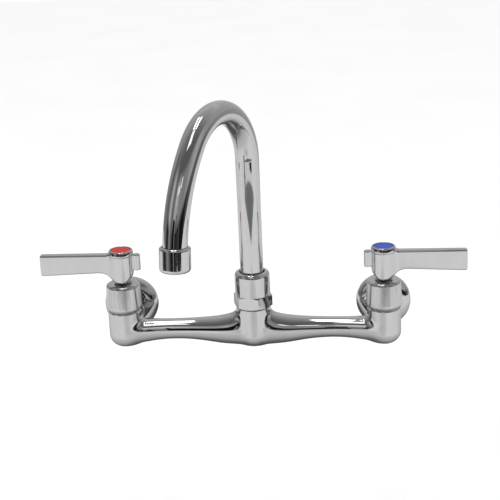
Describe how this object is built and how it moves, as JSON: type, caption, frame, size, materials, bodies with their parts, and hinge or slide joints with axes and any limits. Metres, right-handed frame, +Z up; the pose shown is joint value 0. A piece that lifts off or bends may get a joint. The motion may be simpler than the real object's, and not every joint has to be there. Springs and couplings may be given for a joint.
{
  "type": "splash mount faucet",
  "caption": "Wall-fed kitchen faucet with hot and cold lever valves on a cross body and a swivelling gooseneck spout.",
  "frame": {"origin": "midpoint between the two inlet axes, on the plane of the backsplash's front face", "axes": "+X towards the cold side, +Y into the wall, +Z up"},
  "size_m": [0.3312, 0.1785, 0.2045],
  "materials": {
    "chrome_plate": "polished",
    "brass": "machined",
    "stainless": "satin",
    "seal_rubber": "matt",
    "alumina": "lapped",
    "acetal": "matt",
    "hot_index": "gloss",
    "cold_index": "gloss"
  },
  "bodies": {
    "faucet_body": {"body_casting": "chrome_plate", "spout_nut": "chrome_plate", "spout_glide_ring": "acetal", "hot_inlet_shank": "brass", "hot_wall_flange": "chrome_plate", "hot_splash_gasket": "seal_rubber", "hot_locknut": "brass", "hot_bonnet": "chrome_plate", "hot_cartridge_body": "chrome_plate", "hot_seat_washer": "seal_rubber", "hot_fixed_disc": "alumina", "cold_inlet_shank": "brass", "cold_wall_flange": "chrome_plate", "cold_splash_gasket": "seal_rubber", "cold_locknut": "brass", "cold_bonnet": "chrome_plate", "cold_cartridge_body": "chrome_plate", "cold_seat_washer": "seal_rubber", "cold_fixed_disc": "alumina"},
    "hot_lever": {"hot_lever_handle": "chrome_plate", "hot_handle_screw": "stainless", "hot_index_button": "hot_index", "hot_stem": "brass", "hot_moving_disc": "alumina", "hot_stem_seal": "seal_rubber"},
    "cold_lever": {"cold_lever_handle": "chrome_plate", "cold_handle_screw": "stainless", "cold_index_button": "cold_index", "cold_stem": "brass", "cold_moving_disc": "alumina", "cold_stem_seal": "seal_rubber"},
    "spout": {"spout_tube": "chrome_plate", "spout_collar": "brass", "spout_seal_low": "seal_rubber", "spout_seal_high": "seal_rubber", "aerator_housing": "chrome_plate", "aerator_washer": "seal_rubber", "aerator_insert": "acetal", "aerator_screen": "stainless"}
  },
  "joints": [
    {"name": "hot_lever_turn", "type": "hinge", "parent": "faucet_body", "child": "hot_lever", "pos_m": [-0.1016, -0.0385, 0.03], "axis": [0, 0, 1], "range_deg": [0, 90]},
    {"name": "cold_lever_turn", "type": "hinge", "parent": "faucet_body", "child": "cold_lever", "pos_m": [0.1016, -0.0385, 0.03], "axis": [0, 0, 1], "range_deg": [-90, 0]},
    {"name": "spout_swing", "type": "hinge", "parent": "faucet_body", "child": "spout", "pos_m": [0, -0.0385, 0.02], "axis": [0, 0, 1], "range_deg": [-66.1, 113.9]}
  ]
}
